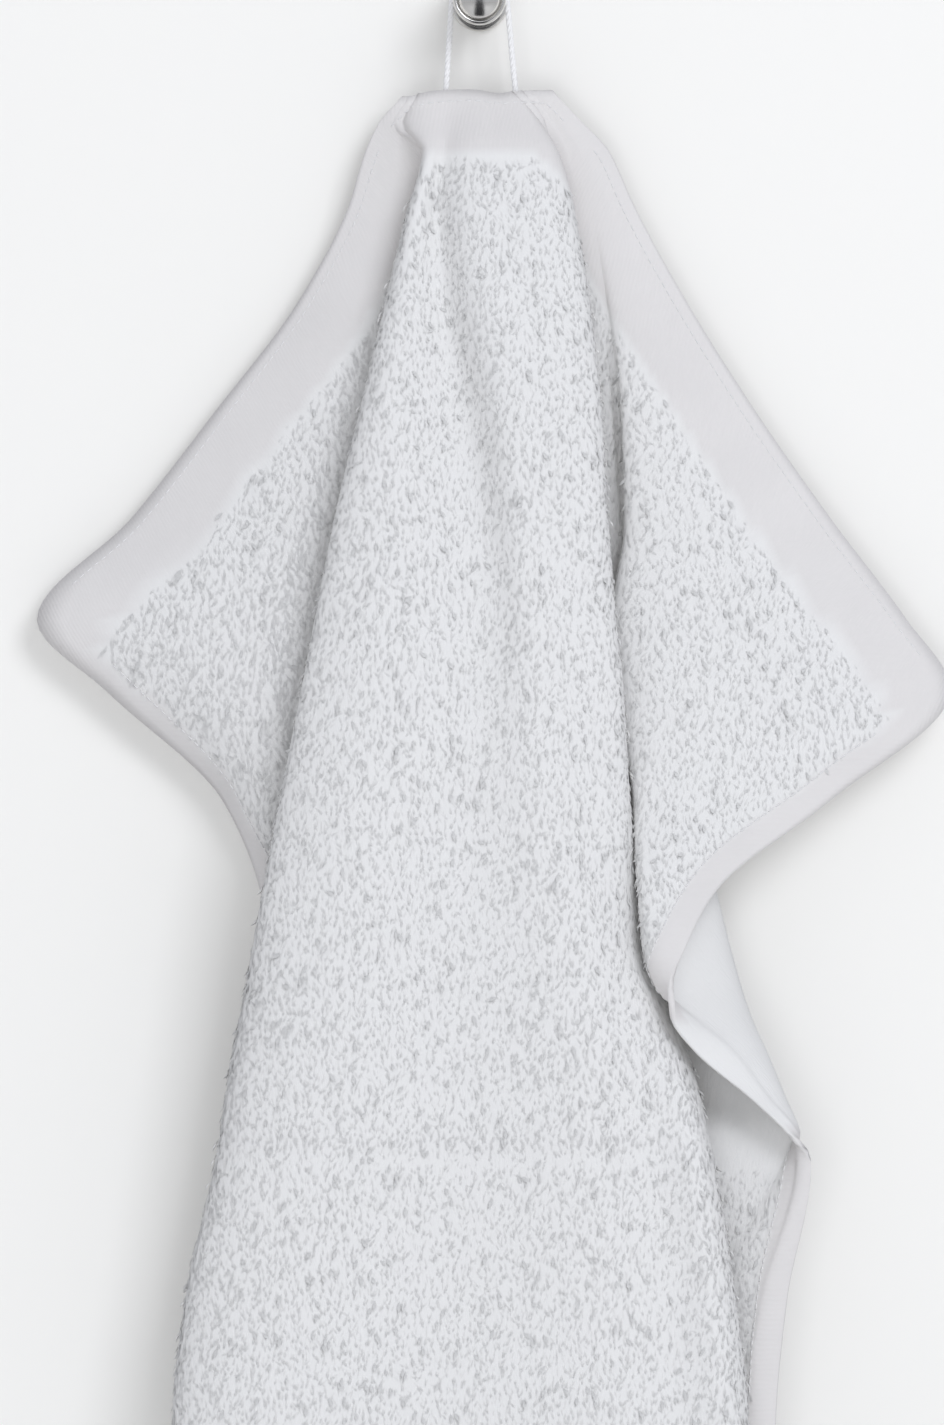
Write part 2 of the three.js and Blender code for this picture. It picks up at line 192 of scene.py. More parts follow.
def arc(middle, radii, start, end, steps):
    """Points of a profile on part of an ellipse. The angles are in degrees, 0 away from the axis."""
    angles = np.radians(np.linspace(start, end, steps + 1))
    return [[middle[0] + radii[0] * math.cos(a), middle[1] + radii[1] * math.sin(a)] for a in angles]


PLATE_PROFILE = [[0, 0], [9.3, 0], *arc((8.3, 2), (1, 1), 0, 90, 6), [0, 3]]
STEM_PROFILE = [
    [0, 3.3], *arc((7.2, 3.7), (0.4, 0.4), -90, 0, 3),
    *arc((7.2, 26.6), (0.4, 0.4), 0, 90, 3), [0, 27],
]
KNOB_PROFILE = [
    [0, 27.3], *arc((7.9, 27.9), (0.6, 0.6), -90, 0, 4), *arc((7.7, 34), (0.8, 0.8), 0, 100, 7),
    [7.15, 34.5], [6.95, 34.2], *arc((0, 34.3), (6.8, 3.7), 3, 90, 20),
]

# Stainless steel, turned and polished: it mirrors the room, and the turning leaves rings that just show.
RING_SPACING = 0.5 * MM
RING_DEPTH = 0.02 * MM
SMUDGE_SCALE = 260.0
STEEL_ROUGHNESS = (0.16, 0.28)  # wiped and smudged
steel, tree, output = new_material("polished_stainless_steel")
place = add_node(tree, "ShaderNodeTexCoord", {})
parts = add_node(tree, "ShaderNodeSeparateXYZ", {0: place.outputs["Object"]})
across = add_node(tree, "ShaderNodeCombineXYZ", {0: parts.outputs[0], 2: parts.outputs[2]})
radius = add_node(tree, "ShaderNodeVectorMath", {0: across.outputs[0]}, operation="LENGTH")
turns = add_node(tree, "ShaderNodeMath", {0: radius.outputs["Value"], 1: 2 * math.pi / RING_SPACING},
                 operation="MULTIPLY")
rings = add_node(tree, "ShaderNodeMath", {0: turns.outputs[0]}, operation="SINE")
bump = add_node(tree, "ShaderNodeBump", {
    "Strength": 0.12, "Distance": RING_DEPTH, "Height": rings.outputs[0]})
smudges = add_node(tree, "ShaderNodeTexNoise", {
    "Vector": place.outputs["Object"], "Scale": SMUDGE_SCALE, "Detail": 3.0})
gloss = add_node(tree, "ShaderNodeMapRange", {
    0: smudges.outputs[0], 3: STEEL_ROUGHNESS[0], 4: STEEL_ROUGHNESS[1]})
shader = add_node(tree, "ShaderNodeBsdfPrincipled", {
    "Base Color": linear("dfddd9"), "Metallic": 1.0, "Roughness": gloss.outputs[0],
    "Normal": bump.outputs[0]})
tree.links.new(shader.outputs[0], output.inputs["Surface"])

for name, node, profile in (("plate_turned", "wall_plate", PLATE_PROFILE),
                            ("stem_turned", "stem", STEM_PROFILE),
                            ("knob_turned", "knob", KNOB_PROFILE)):
    bm = bmesh.new()
    points = [bm.verts.new((radius * MM, -off * MM, 0)) for radius, off in profile]
    line = [bm.edges.new(pair) for pair in zip(points, points[1:])]
    bmesh.ops.spin(bm, geom=[*points, *line], cent=(0, 0, 0), axis=(0, 1, 0), angle=2 * math.pi,
                   steps=ROUND_STEPS, use_merge=True, use_duplicate=False, dvec=(0, 0, 0))
    bmesh.ops.remove_doubles(bm, verts=bm.verts, dist=MERGED_WITHIN)
    bmesh.ops.recalc_face_normals(bm, faces=bm.faces)
    for face in bm.faces:
        face.smooth = True
    for edge in bm.edges:
        edge.smooth = edge.calc_face_angle(0) < SHARP_FROM
    mesh = bpy.data.meshes.new(name)
    bm.to_mesh(mesh)
    bm.free()
    piece = add_piece(name, mesh, steel)
    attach(piece, "root")
    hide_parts(node)


# Towel. One length of white cotton terry, 500 by 1000, hemmed all round, with a flat woven band under its top
# hem. It hangs from the middle of that hem. Its folds stand where the tables say, as they do in the solid
# sheet that it replaces. Sizes in this section are in mm.
BAND_WIDTH = 22.5
SIDE_HEM_WIDTH = 9
LEFT_CORNER = -199  # heights of the top hem's two ends
RIGHT_CORNER = -221.5
TOP_HEM = -29
BOTTOM_MIDDLE = -1029
BOTTOM_CORNER = -1165
LEVEL_DOWN_TO = -700  # below this the rows of the sheet slope as the bottom hem does

# Where each fold stands across the cloth at each height
ACROSS = np.array([
    # height, left edge, behind the fold, back left, left fold, valley, ridge, dip, right fold, back right,
    #   flare, wing, right edge
    [-29, -25, -23.5, -22, -19, -9, 2, 6, 10, 13, 16, 19, 23.5],
    [-39, -32, -29.5, -27, -23.5, -10, -2, 10, 18, 20, 23, 26, 32.5],
    [-48, -36.5, -27, -17, -17.5, -11, -5, 12, 24, 22, 28, 32, 41],
    [-56, -39, -27.5, -14, -19, -12.5, -6, 14, 27, 23.5, 30, 34, 45],
    [-65, -41.5, -29, -13.5, -22, -13, -6, 15, 29.5, 24, 32, 36, 49],
    [-97, -58, -36, -17, -30, -10.5, -2, 18, 35, 25, 39, 42, 66.5],
    [-132, -84.5, -45, -18, -38.5, -4, 5, 22, 39, 23, 43, 46, 88.5],
    [-167, -112, -55, -16, -47, 1.5, 10, 26, 41, 18, 46, 47, 113],
    [-199, -142, -64, -14, -53.5, 4.5, 13, 29, 43.5, 14, 54, 42, 137],
    [-221.5, -119.5, -68, -12, -58, 2.5, 14, 31, 46, 12, 60, 43, 151],
    [-257, -81.5, -70, -12, -65, -1, 18, 35, 48, 12, 69, 49.8, 112],
    [-285.5, -70, -56, -11, -70.5, -3.5, 24, 39.5, 50.5, 12, 77, 51.8, 75.5],
    [-305, -67, -39, -10.5, -74, -5, 27, 42, 54, 12, 82, 53, 65],
    [-316, -66, -38, -10, -76, -5.5, 29.5, 45, 58, 12, 85, 57, 61],
    [-326, -65, -37.5, -10, -78, -6, 31, 48, 61.5, 12, 88, 68, 61.5],
    [-336, -64, -37, -9.5, -80, -7.5, 33, 51.5, 66, 13, 92, 80, 68],
    [-353, -62, -35.5, -9, -83, -9, 35, 55, 71, 14, 98.5, 93, 88],
    [-363, -61, -35, -9, -84.5, -10, 35.5, 56.5, 73, 14.5, 102, 101, 98.5],
    [-372, -60, -34.5, -8.5, -86, -10.5, 36.5, 58, 75, 15, 98, 102, 106],
    [-417, -56, -32, -7.5, -96, -14, 39, 63, 82, 17, 74, 90, 98],
    [-457, -54, -30.5, -7, -100, -16, 40, 65.5, 86, 18, 66, 84, 94.5],
    [-700, -50, -28, -6, -97, -16, 40, 65.5, 86, 18, 56, 76, 91],
    [-1170, -48, -26.5, -5, -92, -14, 39.5, 63.5, 83, 17, 52, 70, 86],
])

# How far the cloth stands off the wall at each height. The front panel has a left bulge, a valley, a ridge, a
# dip and a right bulge, and the rear layers lie near the wall.
OFF_WALL = np.array([
    # height, left edge, behind the fold, rear left, middle left, left fold, bulge, valley, ridge, dip,
    #   right bulge, right fold, middle right, rear right, flare, under wing, wing, wing middle, right edge
    [-29, 17, 17, 17, 17.5, 18, 18, 18, 18, 18, 18, 18, 18, 17.5, 17, 17, 17, 17, 17],
    [-39, 14, 15, 15.5, 16, 19, 22, 20.5, 24, 23, 22, 21, 18, 16, 15.5, 15.5, 15.5, 15, 14],
    [-48, 13, 14, 14, 20, 27, 27, 24, 30, 28, 27, 25, 19, 15, 14.5, 14.5, 14.5, 14, 12],
    [-65, 12, 15, 13, 21, 31, 32, 25, 36, 33, 31, 28, 20, 14, 14, 14, 14, 14, 12],
    [-97, 11, 20, 13, 25, 36, 39, 29, 44, 40, 37, 34, 24, 14, 14, 14, 16, 15, 12],
    [-132, 11, 26, 13, 31, 42, 45, 34, 50, 46, 43, 40, 30, 14, 15, 18, 21, 17, 12],
    [-167, 11, 32, 14, 36, 46, 51, 41, 54, 49, 47, 43, 34, 13, 16, 21, 25, 20, 13],
    [-199, 12, 36, 14, 39, 48, 55, 46, 56, 51, 49, 45, 37, 13, 20, 26, 32, 25, 14],
    [-221.5, 13, 37, 14, 40, 49, 57, 49, 58, 52, 50, 46, 38, 13, 22, 28, 35, 30, 16],
    [-257, 13, 33, 14, 40, 50, 60, 51, 60, 52, 50, 46, 37, 13, 26, 36, 44, 40, 28],
    [-285.5, 13, 24, 14, 38, 50, 60, 52, 60, 53, 49, 42, 30, 13, 30, 43, 53, 52, 46],
    [-305, 13, 16, 14, 34, 50, 60, 52, 60, 53, 48, 38, 27, 13, 32, 47, 54, 57, 56],
    [-316, 13, 15, 14, 32, 50, 60, 52, 60, 52, 49, 38, 29, 14, 33, 47, 51, 55, 58],
    [-326, 13, 15, 14, 31, 50, 60, 52, 60, 52, 50, 40, 32, 16, 36, 47, 49.5, 53, 57],
    [-336, 13, 15, 14, 31, 50, 60, 52, 60, 52, 52, 42, 35, 20, 38, 46, 48, 51, 54],
    [-353, 13, 15, 14, 31, 50, 60, 51, 59, 51, 55, 45, 38, 24, 38, 42, 43.5, 45.5, 47.5],
    [-363, 13, 15, 14, 31, 50, 60, 51, 59, 51, 56, 47, 40, 29, 36, 40, 42, 43, 44.5],
    [-372, 13, 15, 14, 31, 50, 59, 50, 58, 50, 58, 48, 41, 30, 34, 37.5, 39, 40, 40],
    [-417, 14, 15, 14, 31, 49, 58, 49, 57, 50, 58, 48, 41, 29, 31, 34, 35, 35, 33],
    [-700, 14, 15, 14, 30, 46, 54, 44, 53, 48, 54, 45, 38, 24, 26, 29, 31, 30, 27],
    [-1170, 14, 15, 14, 29, 42, 48, 40, 47, 43, 48, 42, 35, 20, 22, 25, 27, 25, 23],
])

BULGE_SHARE = 0.45  # where the left bulge is highest, from the left fold to the valley
RIGHT_BULGE_SHARE = 0.65  # and the right bulge, from the dip to the right fold
LAST_CONTROL = 20  # the sheet's level section has control points 0 to 20
RIDGE_CONTROL = 8

# The pile of the right wing is pressed into that of the front panel's right fold about this height, so the
# wing's left fold stands a little nearer to the panel than in the solid.
PRESSED = 1.8
PRESSED_AT = -275
PRESSED_REACH = 34

# The top hem isn't quite straight: it is low at its left end and dips right of its middle.
TOP_DROPS = [
    # x, drop, half width
    [-25, 2, 8],
    [6, 1.3, 5],
]
TOP_DROP_FADES = 16


def mix(a, b, share):
    return a + (b - a) * share


def smooth(share):
    t = np.clip(share, 0, 1)
    return t * t * (3 - 2 * t)


def read_down(table, height):
    """All columns of a table at each height, on curves that never swing past its rows."""
    heights, values = table[:, 0], table[:, 1:]
    slopes = np.diff(values, axis=0) / np.diff(heights)[:, None]
    before, after = np.vstack([slopes[:1], slopes]), np.vstack([slopes, slopes[-1:]])
    same_way = before * after > 0
    tangents = np.where(same_way, 2 * before * after / np.where(same_way, before + after, 1), 0)
    i = np.clip(np.searchsorted(-heights, -height) - 1, 0, len(heights) - 2)
    span = (heights[i + 1] - heights[i])[:, None]
    t = np.clip((height[:, None] - heights[i][:, None]) / span, 0, 1)
    t2, t3 = t * t, t * t * t
    return ((2 * t3 - 3 * t2 + 1) * values[i] + (t3 - 2 * t2 + t) * span * tangents[i]
            + (3 * t2 - 2 * t3) * values[i + 1] + (t3 - t2) * span * tangents[i + 1])


def section_points(height):
    """The control points of the level section at each height, as [x, y], from the left edge to the right."""
    (edge_left, behind_fold, back_left, fold_left, valley, ridge, dip, fold_right, back_right, flare, wing,
     edge_right) = read_down(ACROSS, height).T
    wing = wing - PRESSED * np.exp(-(((height - PRESSED_AT) / PRESSED_REACH) ** 2))
    xs = [
        edge_left, behind_fold, back_left, back_left, fold_left, fold_left,
        mix(fold_left, valley, BULGE_SHARE), valley, ridge, dip, mix(dip, fold_right, RIGHT_BULGE_SHARE),
        fold_right, fold_right, back_right, back_right, flare, flare, wing, wing,
        mix(wing, edge_right, 0.5), edge_right,
    ]
    (off_left, off_behind, rear_left, middle_left, off_fold_left, bulge, off_valley, off_ridge, off_dip,
     right_bulge, off_fold_right, middle_right, rear_right, off_flare, under_wing, off_wing, wing_middle,
     off_right) = read_down(OFF_WALL, height).T
    offs = [
        off_left, off_behind, rear_left, middle_left, middle_left, off_fold_left, bulge, off_valley,
        off_ridge, off_dip, right_bulge, off_fold_right, middle_right, middle_right, rear_right, rear_right,
        off_flare, under_wing, off_wing, wing_middle, off_right,
    ]
    return np.stack([np.stack(xs, 1), -np.stack(offs, 1)], 2)


def spline_points(sections, along):
    """One point of the cubic B-spline over each section's control points."""
    first = 2 * sections[:, :1] - sections[:, 1:2]
    last = 2 * sections[:, -1:] - sections[:, -2:-1]
    padded = np.concatenate([first, sections, last], 1)
    i = np.clip(np.floor(along), 0, LAST_CONTROL - 1).astype(int)
    t = along - i
    weights = [(1 - t) ** 3, 3 * t ** 3 - 6 * t ** 2 + 4, -3 * t ** 3 + 3 * t ** 2 + 3 * t + 1, t ** 3]
    rows = np.arange(len(along))
    return sum(weight[:, None] * padded[rows, i + k] for k, weight in enumerate(weights)) / 6


SECTION_STEPS = 800
ALONGS = np.linspace(0, LAST_CONTROL, SECTION_STEPS + 1)


def walked_along(height):
    """How far the cloth runs along the level section at one height, at each of ALONGS."""
    line = spline_points(np.repeat(section_points(np.array([height])), len(ALONGS), 0), ALONGS)
    return np.concatenate([[0], np.cumsum(np.linalg.norm(np.diff(line, axis=0), axis=1))])


walked = walked_along(float(LEVEL_DOWN_TO))
width_shares = walked / walked[-1]


def cloth_points(along, level):
    """Points of the cloth's middle surface. level is a height, but below LEVEL_DOWN_TO it runs to the hem."""
    share = np.interp(along, ALONGS, width_shares)
    bottom = mix(BOTTOM_MIDDLE, BOTTOM_CORNER, np.abs(2 * share - 1))
    sloping = mix(LEVEL_DOWN_TO, bottom, (level - LEVEL_DOWN_TO) / (BOTTOM_CORNER - LEVEL_DOWN_TO))
    z = np.where(level < LEVEL_DOWN_TO, sloping, level)
    x, y = spline_points(section_points(z), along).T
    drop = sum(depth * np.exp(-(((x - middle) / half_width) ** 2)) for middle, depth, half_width in TOP_DROPS)
    return np.stack([x, y, z - drop * (1 - smooth((TOP_HEM - level) / TOP_DROP_FADES))], 1)


NORMAL_STEP = (0.02, 0.5)  # along and down


def cloth_normals(along, level):
    """The direction in which the cloth's front face looks."""
    right = (cloth_points(np.minimum(along + NORMAL_STEP[0], LAST_CONTROL), level)
             - cloth_points(np.maximum(along - NORMAL_STEP[0], 0), level))
    down = (cloth_points(along, np.maximum(level - NORMAL_STEP[1], BOTTOM_CORNER))
            - cloth_points(along, np.minimum(level + NORMAL_STEP[1], TOP_HEM)))
    normal = np.cross(down, right)
    return normal / np.maximum(np.linalg.norm(normal, axis=1), 1e-9)[:, None]


# Rows lie closer in the upper part, where the folds turn quickly, and columns where the section bends.
ROW_STEPS = [(-29, -400, 3.1), (-400, -480, 4.5), (-480, -1165, 8)]  # from, to, step
COLUMNS_PER_SPAN = [9, 6, 5, 9, 6, 9, 9, 9, 8, 7, 5, 6, 9, 6, 8, 5, 5, 6, 9, 9]
levels = np.concatenate([np.linspace(top, bottom, round((top - bottom) / step), endpoint=False)
                         for top, bottom, step in ROW_STEPS] + [[BOTTOM_CORNER]])
alongs = np.concatenate([np.arange(steps) / steps + span for span, steps in enumerate(COLUMNS_PER_SPAN)]
                        + [[LAST_CONTROL]])
rows, columns = len(levels), len(alongs)
grid_along, grid_level = np.tile(alongs, rows), np.repeat(levels, columns)
grid = cloth_points(grid_along, grid_level)

# The band and the hems are plain: this is how far each point lies inside their borders. Along the flare's lip
# the hem is rolled under, so its border doesn't show there.
LIP_TOP = -322
LIP_BOTTOM = -368
CORNER_ROOM = 0.1
left_edge = grid.reshape(rows, columns, 3)[:, 0]
right_edge = grid.reshape(rows, columns, 3)[:, -1]
top_hem = np.concatenate([
    left_edge[left_edge[:, 2] >= LEFT_CORNER - CORNER_ROOM][::-1], grid[:columns],
    right_edge[right_edge[:, 2] >= RIGHT_CORNER - CORNER_ROOM],
])
left_hem = left_edge[left_edge[:, 2] <= LEFT_CORNER + CORNER_ROOM]
right_hem = right_edge[(right_edge[:, 2] <= RIGHT_CORNER + CORNER_ROOM) & (right_edge[:, 2] > LIP_TOP)]
lower_right_hem = right_edge[right_edge[:, 2] < LIP_BOTTOM]
bottom_hem = grid[-columns:]


def route_tree(routes):
    """A search tree over many close points of some lines."""
    points = np.concatenate([route[:-1] + share * np.diff(route, axis=0) for route in routes
                             for share in (0, 0.25, 0.5, 0.75)])
    tree = kdtree.KDTree(len(points))
    for i, point in enumerate(points):
        tree.insert(point, i)
    tree.balance()
    return tree


band_tree = route_tree([top_hem, bottom_hem])
hem_tree = route_tree([left_hem, right_hem, lower_right_hem])


def inside_hems(points):
    """How far each point lies inside the band and inside the side hems, in mm. It is negative on them."""
    return np.array([[band_tree.find(p)[2] - BAND_WIDTH, hem_tree.find(p)[2] - SIDE_HEM_WIDTH]
                     for p in points]).T


BORDER_FADE = 2


def past_border(distance):
    """0 outside a border and 1 inside it, from its distance, with a short soft step."""
    return smooth(distance / BORDER_FADE + 0.5)


inside_band, inside_side_hems = inside_hems(grid)
inside = np.minimum(inside_band, inside_side_hems)

bm = bmesh.new()
uv_layer = bm.loops.layers.uv.new("weave")
weight_layer = bm.verts.layers.deform.new()
bmesh.ops.create_grid(bm, x_segments=columns - 1, y_segments=rows - 1, size=1)
bm.verts.ensure_lookup_table()
order = np.lexsort(([v.co.x for v in bm.verts], [-round(v.co.y, 6) for v in bm.verts]))
section_walks = {level: np.interp(alongs, ALONGS, walked_along(max(level, LEVEL_DOWN_TO)))
                 for level in levels}
middle_column = int(np.argmin(np.abs(alongs - RIDGE_CONTROL)))
HEM_THICKNESS = 2
THINNEST = 0.6  # the ground cloth's share of the hem's thickness
uv_of = {}
for place, index in enumerate(order):
    row, column = divmod(place, columns)
    vert = bm.verts[int(index)]
    vert.co = grid[place] * MM
    walk = section_walks[levels[row]]
    uv_of[vert] = ((walk[column] - walk[middle_column]) * MM, grid[place][2] * MM)
    vert[weight_layer][0] = float(mix(1, THINNEST, past_border(inside[place])))
for face in bm.faces:
    face.smooth = True
    for loop in face.loops:
        loop[uv_layer].uv = uv_of[loop.vert]
ground_mesh = bpy.data.meshes.new("ground_cloth")
bm.to_mesh(ground_mesh)
bm.free()
side_hem_share = past_border(inside_band) * (1 - past_border(inside_side_hems))
for name, shares in (("pile", past_border(inside)), ("side_hem", side_hem_share)):
    values = np.empty(rows * columns, np.float32)
    values[order] = shares
    ground_mesh.attributes.new(name, "FLOAT", "POINT").data.foreach_set("value", values)

# Bleached cotton: it scatters nearly all light and lets some through, without gloss, and is a little warm,
# which shows in the deep folds only. The band is a plain weave with fine upright ribs, and the side hems are
# crossed by the marks of their weft. Between the loops the ground is covered with short upright grains.
RIB_SPACING = 1.3 * MM  # real ribs are half of this, too fine to show
WEFT_SPACING = 1.6 * MM
GRAINS_ACROSS = 1 / (0.9 * MM)  # how many grains a metre holds
GRAINS_DOWN = 1 / (3.2 * MM)
WEAVE_DEPTH = 0.5 * MM
RIBS_BESIDE_GRAINS = 0.12  # how deep the ribs are, as a share of the grains
WAVER_SCALE = 140.0  # the ribs waver a little
WAVER = 5.0
CLOUD_SCALE = 45.0
LET_THROUGH = 0.15  # the share of light that goes through the cloth

cotton, tree, output = new_material("bleached_cotton_terry")
weave = add_node(tree, "ShaderNodeUVMap", {}, uv_map="weave")
place = add_node(tree, "ShaderNodeTexCoord", {})
pile_here = add_node(tree, "ShaderNodeAttribute", {}, attribute_name="pile")
side_hem_here = add_node(tree, "ShaderNodeAttribute", {}, attribute_name="side_hem")
parts = add_node(tree, "ShaderNodeSeparateXYZ", {0: weave.outputs[0]})
waver = add_node(tree, "ShaderNodeTexNoise", {
    "Vector": place.outputs["Object"], "Scale": WAVER_SCALE, "Detail": 1.0})
lines = []
for part, spacing in ((0, RIB_SPACING), (1, WEFT_SPACING)):
    turns = add_node(tree, "ShaderNodeMath", {0: parts.outputs[part], 1: 2 * math.pi / spacing},
                     operation="MULTIPLY")
    shifted = add_node(tree, "ShaderNodeMath", {0: waver.outputs[0], 1: WAVER, 2: turns.outputs[0]},
                       operation="MULTIPLY_ADD")
    lines.append(add_node(tree, "ShaderNodeMath", {0: shifted.outputs[0]}, operation="SINE"))
plain = add_node(tree, "ShaderNodeMix", {0: side_hem_here.outputs["Fac"], 2: lines[0].outputs[0],
                                         3: lines[1].outputs[0]})
faint = add_node(tree, "ShaderNodeMath", {0: plain.outputs[0], 1: RIBS_BESIDE_GRAINS}, operation="MULTIPLY")
stretched = add_node(tree, "ShaderNodeVectorMath", {0: weave.outputs[0], 1: (GRAINS_ACROSS, GRAINS_DOWN, 1)},
                     operation="MULTIPLY")
grains = add_node(tree, "ShaderNodeTexNoise", {
    "Vector": stretched.outputs[0], "Scale": 1.0, "Detail": 2.0, "Distortion": 0.6})
height = add_node(tree, "ShaderNodeMix", {
    0: pile_here.outputs["Fac"], 2: faint.outputs[0], 3: grains.outputs[0]})
bump = add_node(tree, "ShaderNodeBump", {
    "Strength": 0.3, "Distance": WEAVE_DEPTH, "Height": height.outputs[0]})
cloudy = add_node(tree, "ShaderNodeTexNoise", {
    "Vector": place.outputs["Object"], "Scale": CLOUD_SCALE, "Detail": 2.0})
woven = add_node(tree, "ShaderNodeMix", {0: cloudy.outputs[0], 6: linear("e9e6e4"), 7: linear("f0edeb")},
                 data_type="RGBA")
tint = add_node(tree, "ShaderNodeMix", {
    0: pile_here.outputs["Fac"], 6: woven.outputs[2], 7: linear("f6f5f3")}, data_type="RGBA")
front = add_node(tree, "ShaderNodeBsdfPrincipled", {
    "Base Color": tint.outputs[2], "Roughness": 0.95, "Specular IOR Level": 0.15,
    "Normal": bump.outputs[0]})
through = add_node(tree, "ShaderNodeBsdfTranslucent", {
    "Color": tint.outputs[2], "Normal": bump.outputs[0]})
shader = add_node(tree, "ShaderNodeMixShader", {
    0: LET_THROUGH, 1: front.outputs[0], 2: through.outputs[0]})
tree.links.new(shader.outputs[0], output.inputs["Surface"])

ground = add_piece("ground_cloth", ground_mesh, cotton)
ground.vertex_groups.new(name="thickness")
thicken = ground.modifiers.new("thicken", "SOLIDIFY")
thicken.thickness = HEM_THICKNESS * MM
thicken.offset = 0
thicken.vertex_group = "thickness"
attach(ground, "root")
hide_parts("towel")


# Pile. Uncut loops of soft twisted yarn stand on both faces of the ground cloth, but not on the band and the
# hems. Each is drawn as one flat grain that lies down over the next, and a few stand out. They are closest on
# the upper front. Sizes are in mm.
LOOP_SPACING = (1.5, 1.75)  # across and down
LOWER_PART = -470
LOWER_SPACING = (2.6, 2.9)
THINNED = 0.45  # the share of loops that is kept on the upper part where it doesn't look to the front
COARSE = 1.4  # loops that stand farther apart are this much larger
LOOP_LENGTH = (2.5, 4.1)
LOOP_RADIUS = (0.42, 0.62)
LOOP_CROWN = (0.15, 0.3)  # how high a lying loop is at its middle
LOOP_RISE = (0, 0.6)  # how far the tip stands off the ground cloth
STANDING_SHARE = 0.05
STANDING_RISE = 0.9
LOOP_SWING = 0.38  # how far the loops point away from straight down, in radians
MIDDLE_AT = 0.55  # where a grain is widest, as a share of its length
MIDDLE_RISE = 0.75  # and of the rise of its tip
FLATNESS = 0.6  # how thick a standing grain is, as a share of its width
LEAST_DOWN = 0.2  # keeps the direction down the cloth short where the cloth lies level
SHADED_AS_CLOTH = 0.95  # soft yarn shades more like the cloth under it than like a hard grain
SIDE_ON = 0.4  # but less so where the cloth turns away from the front
GROUND_HALF = 0.5  # the roots lie this far off the middle of the ground cloth, just inside its face
BORDER_ROOM = 0.8
LOOPS_A_PIECE = 30000
LOOK_FROM = 1.6  # how far off the cloth the test for open air starts
FACES_FRONT = 0.05  # least cosine between a loop's direction and the front
FACES_LOOK = 0.25  # and any other direction from which it is looked at

# The loops lie flat on the turned-out flare and its lip, and in the hollow under it, so the ground cloth
# shows there.
FLATTENED = [
    # face, first and last along, highest and lowest level
    [-1, 15.3, 17.8, -250, -400],
    [-1, 17.8, 20, -316, -374],
    [1, 17.5, 20, -316, -374],
    [1, 14.2, 15.7, -325, -374],
]

SEED = 11
LOOK_HEIGHTS = (0, 0.5, -0.5)  # in radians above the level
LOOKS_ROUND = 12
rng = np.random.default_rng(SEED)
ground_tree = bvhtree.BVHTree.FromPolygons(
    [tuple(p) for p in grid],
    [(r * columns + c, r * columns + c + 1, (r + 1) * columns + c + 1, (r + 1) * columns + c)
     for r in range(rows - 1) for c in range(columns - 1)])
LOOKS = [Vector((math.sin(a) * math.cos(e), -math.cos(a) * math.cos(e), math.sin(e)))
         for e in LOOK_HEIGHTS for a in np.linspace(0, 2 * math.pi, LOOKS_ROUND, endpoint=False)]
FRONT = Vector((0, -1, 0))


def loop_places(top, bottom, spacing):
    """Places for loops on one face, in jittered rows: along and level of each."""
    found = []
    for level in np.arange(top, bottom, -spacing[1]):
        walk = walked_along(max(level, LEVEL_DOWN_TO))
        count = int(walk[-1] / spacing[0])
        steps = (np.arange(count) + rng.uniform(0, 1, count)) * walk[-1] / count
        found.append(np.stack([np.interp(steps, walk, ALONGS),
                               level + rng.uniform(-0.5, 0.5, count) * spacing[1]], 1))
    found = np.concatenate(found)
    return np.clip(found[:, 0], 0, LAST_CONTROL), np.clip(found[:, 1], bottom, top)


def sees_air(point, normal):
    """Whether a loop there looks to the front, and whether it can be seen at all."""
    start = Vector(point) + Vector(normal) * LOOK_FROM
    facing = Vector(normal)
    if facing.dot(FRONT) > FACES_FRONT and ground_tree.ray_cast(start, FRONT)[0] is None:
        return True, True
    for look in LOOKS:
        if facing.dot(look) > FACES_LOOK and ground_tree.ray_cast(start, look)[0] is None:
            return False, True
    return False, False


def grow(face, top, bottom, spacing, thinned):
    """The roots, normals and sizes of the loops on one face of the cloth between two levels."""
    along, level = loop_places(top, bottom, spacing)
    roots = cloth_points(along, level)
    normals = cloth_normals(along, level) * face
    flattened = np.any([(side == face) & (along > first) & (along < last) & (level < high) & (level > low)
                        for side, first, last, high, low in FLATTENED], axis=0)
    kept = (inside_hems(roots).min(axis=0) > BORDER_ROOM) & ~flattened
    roots, normals = roots[kept], normals[kept]
    seen = np.array([sees_air(p, n) for p, n in zip(roots, normals)])
    chance = rng.uniform(0, 1, len(roots))
    kept = seen[:, 1] & (seen[:, 0] | (chance < thinned))
    sizes = np.where(seen[:, 0] & (thinned < 1), 1, COARSE)
    return roots[kept], normals[kept], sizes[kept]


PILE_PARTS = (
    # from, to, spacing, share kept where it doesn't look to the front
    (TOP_HEM, LOWER_PART, LOOP_SPACING, THINNED),
    (LOWER_PART, BOTTOM_CORNER, LOWER_SPACING, 1),
)
loops = [grow(face, *part) for face in (1, -1) for part in PILE_PARTS]
roots, normals, sizes = (np.concatenate(parts) for parts in zip(*loops))


